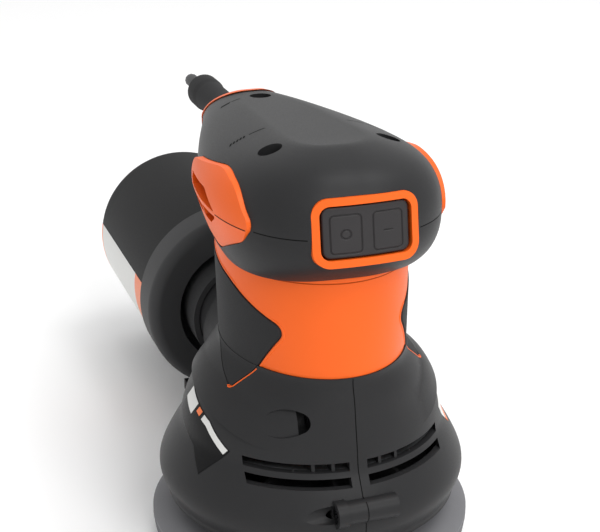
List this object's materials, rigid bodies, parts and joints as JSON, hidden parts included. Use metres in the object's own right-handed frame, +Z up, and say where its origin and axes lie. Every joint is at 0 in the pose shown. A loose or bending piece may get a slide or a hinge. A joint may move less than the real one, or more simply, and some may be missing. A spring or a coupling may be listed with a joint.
{
  "type": "random orbital palm sander",
  "caption": "Corded palm sander: round orbiting pad under a waisted body with side rubber grips, a front rocker switch, side air inlets and a rear dust canister.",
  "frame": {"origin": "motor axis where it meets the floor under the sanding pad", "axes": "+Z up along the motor axis, -Y towards the switch, +Y towards the cord and the canister"},
  "size_m": [0.1716, 0.302, 0.166],
  "materials": {
    "dark_plastic": "fine-grained moulded plastic",
    "orange_plastic": "satin moulded plastic",
    "grip_rubber": "soft matt rubber",
    "switch_plastic": "satin moulded plastic",
    "cord_sheath": "smooth matt sheath",
    "tie_plastic": "smooth strap",
    "pin_metal": "nickel-plated brass",
    "pad_plastic": "matt moulded plastic",
    "pad_foam": "closed-cell foam",
    "hook_fabric": "hook fastener cloth",
    "screw_steel": "blackened steel",
    "steel": "ground steel",
    "core_steel": "laminated steel",
    "copper_wire": "enamelled copper",
    "carbon": "pressed carbon",
    "brass": "stamped brass",
    "frame_aluminium": "cast aluminium",
    "fan_plastic": "glass-filled plastic",
    "capacitor_case": "smooth case",
    "filter_paper": "pleated paper"
  },
  "bodies": {
    "housing": {"lower_bearing": "steel", "upper_bearing": "steel", "bearing_plate": "frame_aluminium", "pad_seal": "grip_rubber", "left_housing": "dark_plastic", "right_housing": "dark_plastic", "housing_screws": "screw_steel", "motor_housing": "orange_plastic", "left_grip": "grip_rubber", "right_grip": "grip_rubber", "head_base": "dark_plastic", "top_cover": "dark_plastic", "rear_collar": "orange_plastic", "left_vent_upper": "orange_plastic", "left_vent_lower": "orange_plastic", "right_vent_upper": "orange_plastic", "right_vent_lower": "orange_plastic", "switch_frame": "orange_plastic", "switch_body": "switch_plastic", "capacitor": "capacitor_case", "top_cover_screws": "screw_steel", "cord_boot": "grip_rubber", "cord_inner_end": "cord_sheath", "cord_clamp": "switch_plastic", "clamp_screws": "screw_steel", "cord": "cord_sheath", "cord_coil": "cord_sheath", "coil_tie": "tie_plastic", "plug_body": "cord_sheath", "plug_pins": "pin_metal", "dust_duct": "dark_plastic", "stator_core": "core_steel", "field_coils": "copper_wire", "brush_carrier": "fan_plastic", "brush_holders": "brass", "carbon_brushes": "carbon", "brush_springs": "steel"},
    "rotor": {"motor_shaft": "steel", "armature_core": "core_steel", "armature_windings": "copper_wire", "commutator": "copper_wire", "fan": "fan_plastic", "pad_bearing": "steel"},
    "pad": {"pad_spindle": "steel", "pad_plate": "pad_plastic", "pad_foam": "pad_foam", "pad_hook_face": "hook_fabric", "pad_screws": "screw_steel"},
    "switch": {"switch_rocker": "switch_plastic"},
    "canister": {"canister_body": "dark_plastic", "canister_cap": "dark_plastic", "canister_seal": "grip_rubber", "canister_filter": "filter_paper", "canister_latches": "dark_plastic"}
  },
  "joints": [
    {"name": "rotor_spin", "type": "hinge", "parent": "housing", "child": "rotor", "pos_m": [0, 0, 0.05], "axis": [0, 0, 1], "continuous": true},
    {"name": "pad_spin", "type": "hinge", "parent": "rotor", "child": "pad", "pos_m": [0, 0.0012, 0.02], "axis": [0, 0, 1], "continuous": true},
    {"name": "switch_rock", "type": "hinge", "parent": "housing", "child": "switch", "pos_m": [0, -0.04906, 0.14249], "axis": [0, 0.1564, 0.9877], "range_deg": [-4, 4]},
    {"name": "canister_slide", "type": "slide", "parent": "housing", "child": "canister", "axis": [0, 1, 0], "range_m": [0, 0.045]}
  ]
}
